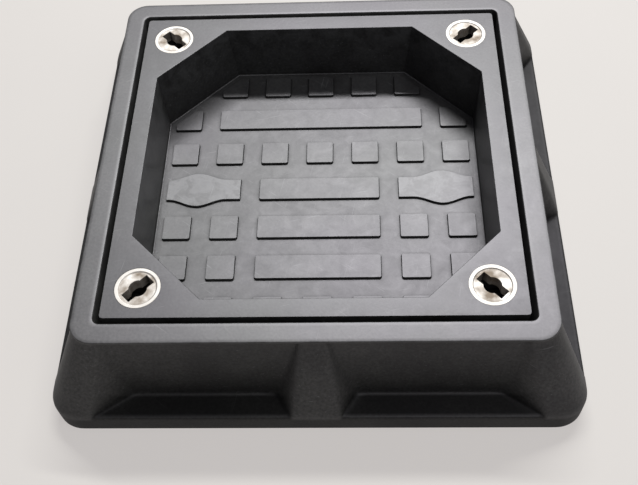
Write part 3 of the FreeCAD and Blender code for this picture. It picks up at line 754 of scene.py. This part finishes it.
@dataclass
class TrayCover(Piece):
    """The lift-out tray: flat rim, deep recess with cut corners, raised tread, and ribs below."""

    half: float = 170.0
    foot_half: float = 168.7
    corner: float = 3.0
    corner_steps: int = 4
    top: float = 96.0
    foot: float = 20.0
    mouth_half: float = 153.2
    mouth_cut: float = 62.2
    floor_half: float = 150.3
    floor_cut: float = 65.0
    floor: float = 37.0
    floor_round: float = 5.5
    underside: float = 27.0
    tread_pitch: float = 43.5
    tread_square: float = 26.0
    tread_rise: float = 2.2
    tread_draft: float = 0.47
    tread_corner: float = 1.6
    tread_steps: int = 3
    tread_round: float = 0.9
    plate_width: float = 25.0
    plate_length: float = 113.0
    wide_plate_length: float = 200.0
    pad_length: float = 70.0
    pad_width: float = 24.0
    pad_margin: float = 6.3
    pad_steps: int = 28
    bulge_length: float = 54.0
    bulge_rise: float = 7.5
    bulge_inset: float = 29.0
    rib_foot: float = 6.0
    ring_outer: float = 146.0
    ring_inner: float = 138.0
    rib_pitch: float = 47.0
    rib_thickness: float = 6.0
    socket_place: float = 142.3
    bore_radius: float = 19.1
    bore_round: float = 0.4
    seat_radius: float = 24.3
    seat_top: float = 88.0
    seat_foot: float = 84.0
    room_width: float = 29.0
    room_foot: float = 64.0
    edge: float = 1.2
    mouth_round: float = 2.4
    round_steps: int = 3
    tread_wear: float = 0.1
    pad_wear: float = 1.5
    # Rubbed pale at the tray's mouth, partly a painted highlight along its rounded edge.
    mouth_wear_and_highlight: float = 0.7
    # Painted shade that dims the recessed tray floor a little.
    floor_painted_shade: float = -0.1

    tread_rows: ClassVar[dict[int, tuple[int, ...]]] = {
        3: (-2, -1, 0, 1, 2), 2: (-3, 3), 1: (-3, -2, -1, 0, 1, 2, 3),
        -1: (-3, -2, 2, 3), -2: (-3, -2, 2, 3), -3: (-2, -1, 0, 1, 2)}
    plain_plate_rows: ClassVar[tuple[int, ...]] = (0, -1, -2)
    wide_plate_row: ClassVar[int] = 2
    ribs: ClassVar[tuple[int, ...]] = (-2, -1, 0, 1, 2)

    def block(self, shape: LoopMesh, size: Point, middle: Point) -> Loop:
        """Raise one tread block with sloping sides.

        Args:
            shape: Mesh of the cover.
            size: Length and width of the block's foot.
            middle: Centre of the block.

        Returns:
            The block's foot on the floor.
        """
        narrow = (size[0] - 2 * self.tread_draft, size[1] - 2 * self.tread_draft)
        limit = 2 * self.floor_half - self.floor_cut - math.sqrt(2) * (self.floor_round + self.edge)
        foot = shape.box(size, self.floor, self.tread_corner, self.tread_steps, middle, limit)
        crown = shape.box(narrow, self.floor + self.tread_rise, self.tread_corner, self.tread_steps, middle,
                          limit - 2 * self.tread_draft)
        shape.wall(foot, crown)
        shape.plate(crown)
        shape.soften(foot, 0.0, self.floor_painted_shade)
        shape.soften(crown, self.tread_round, self.tread_wear)
        return foot

    def pad_outline(self, shape: LoopMesh, side: int, level: float, inset: float) -> Loop:
        """Outline a side pad: a strip whose long sides swell out in the middle.

        Args:
            shape: Mesh of the cover.
            side: Left or right, as -1 or 1.
            level: Height of the outline.
            inset: How far the outline stays inside the pad's foot.

        Returns:
            The outline's edges.
        """
        end = self.floor_half - self.pad_margin
        bulge = end - self.bulge_inset
        length, width = self.pad_length - 2 * inset, self.pad_width - 2 * inset
        place = Matrix.Translation((side * (end - self.pad_length / 2), 0.0, level))
        stretch = Matrix.Diagonal((length / 2, width / 2, 1, 1))
        grid = bmesh.ops.create_grid(shape.bm, x_segments=self.pad_steps, y_segments=1, size=1,
                                     matrix=place @ stretch)
        for vertex in grid["verts"]:
            away = abs(vertex.co.x - side * bulge) / (self.bulge_length / 2)
            swell = self.bulge_rise * (1 + math.cos(math.pi * min(away, 1))) / 2
            vertex.co.y += math.copysign(swell, vertex.co.y)
        faces = {face for vertex in grid["verts"] for face in vertex.link_faces}
        loop = [edge for face in faces for edge in face.edges if edge.is_boundary]
        bmesh.ops.delete(shape.bm, geom=list(faces), context="FACES_KEEP_BOUNDARY")
        return loop

    def raise_tread(self, shape: LoopMesh) -> list[Loop]:
        """Raise the squares, plates and side pads.

        Args:
            shape: Mesh of the cover.

        Returns:
            The outlines where they stand on the floor.
        """
        pitch = self.tread_pitch
        square = (self.tread_square, self.tread_square)
        feet = [self.block(shape, square, (column * pitch, row * pitch))
                for row, columns in self.tread_rows.items() for column in columns]
        feet += [self.block(shape, (self.plate_length, self.plate_width), (0.0, row * pitch))
                 for row in self.plain_plate_rows]
        feet.append(self.block(shape, (self.wide_plate_length, self.plate_width),
                               (0.0, self.wide_plate_row * pitch)))
        for side in SIDES:
            foot = self.pad_outline(shape, side, self.floor, 0.0)
            crown = self.pad_outline(shape, side, self.floor + self.tread_rise, self.tread_draft)
            shape.wall(foot, crown)
            shape.plate(crown)
            shape.soften(foot, 0.0, self.floor_painted_shade)
            shape.soften(crown, self.tread_round, self.pad_wear)
            feet.append(foot)
        return feet

    def sink_socket_seats(self, shape: LoopMesh) -> list[Loop]:
        """Sink the four bores, seats and key rooms.

        Args:
            shape: Mesh of the cover.

        Returns:
            The bores' outlines on the rim.
        """
        mouths = []
        room = (self.room_width, self.room_width)
        for i in SIDES:
            for j in SIDES:
                middle = (i * self.socket_place, j * self.socket_place)
                mouth = shape.circle(self.bore_radius, self.top, middle)
                neck = shape.circle(self.bore_radius, self.seat_top, middle)
                ceiling = shape.circle(self.seat_radius, self.seat_top, middle)
                seat = shape.circle(self.seat_radius, self.seat_foot, middle)
                room_mouth = shape.box(room, self.seat_foot, middle=middle)
                room_floor = shape.box(room, self.room_foot, middle=middle)
                shape.wall(mouth, neck)
                shape.plate(neck, ceiling)
                shape.wall(ceiling, seat)
                shape.plate(seat, room_mouth)
                shape.wall(room_mouth, room_floor)
                shape.plate(room_floor)
                shape.soften(mouth, self.bore_round)
                mouths.append(mouth)
        return mouths

    def between_ribs(self, face: bmesh.types.BMFace) -> bool:
        """Tell whether a face of the underside is a cell between ribs.

        Args:
            face: A face of the cut field.

        Returns:
            True where no rib crosses the face.
        """
        return all(abs(place - rib * self.rib_pitch) > self.rib_thickness / 2
                   for place in face.calc_center_median()[:2] for rib in self.ribs)

    def cross_ribs(self, shape: LoopMesh) -> Loop:
        """Cut the underside into cells between crossed ribs and raise the cells' ceilings.

        Args:
            shape: Mesh of the cover.

        Returns:
            The outline of the ribbed field.
        """
        bm = shape.bm
        before = set(bm.faces)
        field = shape.box((2 * self.ring_inner, 2 * self.ring_inner), self.rib_foot, self.floor_cut)
        bmesh.ops.contextual_create(bm, geom=field)
        for axis in (Vector((1, 0, 0)), Vector((0, 1, 0))):
            for rib in self.ribs:
                for side in SIDES:
                    faces = [face for face in bm.faces if face not in before]
                    edges = list({edge for face in faces for edge in face.edges})
                    verts = list({vertex for face in faces for vertex in face.verts})
                    bmesh.ops.bisect_plane(
                        bm, geom=verts + edges + faces, dist=MERGE, plane_no=axis,
                        plane_co=axis * (rib * self.rib_pitch + side * self.rib_thickness / 2))
        faces = [face for face in bm.faces if face not in before]
        outline = [edge for face in faces for edge in face.edges if edge.is_boundary]
        cells = [face for face in faces if self.between_ribs(face)]
        for cell in cells:
            raised = bmesh.ops.extrude_discrete_faces(bm, faces=[cell])["faces"]
            bmesh.ops.translate(bm, vec=(0, 0, self.underside - self.rib_foot),
                                verts=list({vertex for face in raised for vertex in face.verts}))
        return outline

    def build(self, material: bpy.types.Material) -> bpy.types.Object:
        """Join the tray's outlines into one moulding and dress it.

        Args:
            material: Finish of the cover.

        Returns:
            The cover's object.
        """
        shape = LoopMesh()
        rim = shape.box((2 * self.half, 2 * self.half), self.top, self.corner, self.corner_steps)
        foot = shape.box((2 * self.foot_half, 2 * self.foot_half), self.foot, self.corner, self.corner_steps)
        mouth = shape.box((2 * self.mouth_half, 2 * self.mouth_half), self.top, self.mouth_cut)
        floor = shape.box((2 * self.floor_half, 2 * self.floor_half), self.floor, self.floor_cut)
        ring_top = shape.box((2 * self.ring_outer, 2 * self.ring_outer), self.foot, self.floor_cut)
        ring_foot = shape.box((2 * self.ring_outer, 2 * self.ring_outer), self.rib_foot, self.floor_cut)
        shape.wall(rim, foot)
        shape.wall(mouth, floor)
        shape.wall(ring_top, ring_foot)
        shape.plate(rim, mouth, *self.sink_socket_seats(shape))
        shape.plate(foot, ring_top)
        shape.plate(floor, *self.raise_tread(shape))
        shape.plate(ring_foot, self.cross_ribs(shape))
        shape.soften(rim, self.edge)
        # Pale wear at the mouth's edge, which is also a painted highlight.
        shape.soften(mouth, self.mouth_round, self.mouth_wear_and_highlight)
        shape.soften(floor, self.floor_round, self.floor_painted_shade)
        piece = self.settle(shape.bm, material)
        self.round_edges(piece, self.round_steps)
        return piece


@dataclass
class LiftingSocket(Piece):
    """A turned steel socket: a dished head on a square foot, with a key slot and its round eye."""

    soft_above: float = 94.0
    edge: float = 0.4
    round_steps: int = 2
    flat_angle: float = 1.0
    soft_angle: float = 30.0

    def build(self, material: bpy.types.Material) -> bpy.types.Object:
        """Copy the solid, clean its flats, round what shows and lay out the turning rings.

        Args:
            material: Finish of the socket.

        Returns:
            The socket's object.
        """
        low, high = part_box(self.node)
        axis = (low + high) / 2 / MM
        bm = bmesh.new()
        bm.from_mesh(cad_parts[self.node].data)
        bmesh.ops.scale(bm, vec=(1 / MM,) * 3, verts=bm.verts)
        bmesh.ops.remove_doubles(bm, verts=bm.verts, dist=MERGE)
        bmesh.ops.dissolve_limit(bm, angle_limit=math.radians(self.flat_angle), verts=bm.verts,
                                 edges=bm.edges)
        weight = bm.edges.layers.float.new(BEVEL_WEIGHT)
        for edge in bm.edges:
            above = min(vertex.co.z for vertex in edge.verts) > self.soft_above
            if above and edge.calc_face_angle(0.0) > math.radians(self.soft_angle):
                edge[weight] = self.edge / WIDEST_BEVEL
        rings = bm.loops.layers.uv.new("turning")
        for face in bm.faces:
            for corner in face.loops:
                corner[rings].uv = (corner.vert.co - axis)[:2]
        piece = self.settle(bm, material)
        self.round_edges(piece, self.round_steps)
        return piece


@dataclass
class Studio:
    """Pale floor, a long lamp behind, a wide one before, and the camera, in metres and degrees."""

    floor_half: float = 60.0
    key_distance: float = 2.6
    key_elevation: float = 56.3
    key_azimuth: float = 10.0
    key_size: tuple[float, float] = (1.7, 0.1)
    key_power: float = 90.0
    fill_distance: float = 2.6
    fill_elevation: float = 62.0
    fill_azimuth: float = 135.0
    fill_size: tuple[float, float] = (2.4, 2.4)
    fill_power: float = 27.0
    world_colour: str = "dcd8e6"
    world_strength: float = 0.16
    camera_place: tuple[float, float, float] = (0.0362, -0.5161, 0.7126)
    camera_turns: tuple[float, float, float, float] = (-1.0, 33.96, 3.06, 0.17)
    lens: float = 50.9

    def lay_floor(self, material: bpy.types.Material) -> None:
        """Lay the floor under the frame.

        Args:
            material: Finish of the floor.
        """
        bm = bmesh.new()
        bmesh.ops.create_grid(bm, x_segments=1, y_segments=1, size=self.floor_half)
        mesh = bpy.data.meshes.new("studio_floor")
        bm.to_mesh(mesh)
        bm.free()
        mesh.materials.append(material)
        floor = bpy.data.objects.new("studio_floor", mesh)
        bpy.context.scene.collection.objects.link(floor)

    def hang_lamp(self, name: str, elevation: float, azimuth: float, distance: float, size: Point,
                  power: float) -> None:
        """Hang a flat lamp that faces the object.

        Args:
            name: Name of the lamp.
            elevation: Height of the lamp's direction above the floor, in degrees.
            azimuth: Its direction from the back of the object, clockwise from above, in degrees.
            distance: How far away it hangs.
            size: Width and height of the lamp.
            power: Power in watts.
        """
        rise, turn = math.radians(elevation), math.radians(azimuth)
        outward = Vector((math.cos(rise) * math.sin(turn), math.cos(rise) * math.cos(turn), math.sin(rise)))
        lamp = bpy.data.lights.new(name, "AREA")
        lamp.shape = "RECTANGLE"
        lamp.size, lamp.size_y = size
        lamp.energy = power
        lantern = bpy.data.objects.new(name, lamp)
        lantern.location = outward * distance
        lantern.rotation_euler = outward.to_track_quat("Z", "Y").to_euler()
        bpy.context.scene.collection.objects.link(lantern)

    def hang_lights(self) -> None:
        """Hang a long lamp behind the object and a wide soft one before it, in a dim room."""
        self.hang_lamp("key_lamp", self.key_elevation, self.key_azimuth, self.key_distance, self.key_size,
                       self.key_power)
        self.hang_lamp("fill_lamp", self.fill_elevation, self.fill_azimuth, self.fill_distance,
                       self.fill_size, self.fill_power)
        world = bpy.data.worlds.new("studio_room")
        world.use_nodes = True
        background = world.node_tree.nodes["Background"]
        background.inputs["Color"].default_value = linear(self.world_colour)
        background.inputs["Strength"].default_value = self.world_strength
        bpy.context.scene.world = world

    def set_camera(self) -> None:
        """Stand the camera where the photograph was taken from."""
        lens = bpy.data.cameras.new("camera")
        lens.sensor_fit = "HORIZONTAL"
        lens.lens = self.lens
        camera = bpy.data.objects.new("camera", lens)
        yaw, tilt, roll, twist = (math.radians(turn) for turn in self.camera_turns)
        turn = (Matrix.Rotation(yaw, 4, "Z") @ Matrix.Rotation(tilt, 4, "X") @ Matrix.Rotation(roll, 4, "Y")
                @ Matrix.Rotation(twist, 4, "Z"))
        camera.matrix_world = Matrix.Translation(self.camera_place) @ turn
        bpy.context.scene.collection.objects.link(camera)
        bpy.context.scene.camera = camera
        bpy.context.scene.view_settings.view_transform = "Standard"


def main() -> None:
    """Build the studio and the pieces in order and report each."""
    logging.basicConfig(level=logging.INFO, format="%(message)s")
    studio = Studio()
    studio.lay_floor(PaleFloor().build())
    studio.hang_lights()
    studio.set_camera()

    frame_skin = MouldedComposite("moulded_frame_composite", "222221", "343432", "646565").build()
    cover_skin = MouldedComposite("moulded_cover_composite", "1e1e1d", "2d2e2d", "6a6b6c", sheen=0.77,
                                  upright_roughness=-0.04).build()
    steel = TurnedSteel("turned_stainless_steel").build()
    pieces = [FrameShell("frame", "frame_composite").build(frame_skin),
              TrayCover("cover", "cover_composite").build(cover_skin)]
    for corner in ("front_left", "front_right", "back_right", "back_left"):
        pieces.append(LiftingSocket(f"lifting_socket_{corner}", "socket_steel").build(steel))
    for piece in pieces:
        LOG.info("%s: %d faces drawn", piece.name, len(piece.data.polygons))


if __name__ == "__main__":
    main()
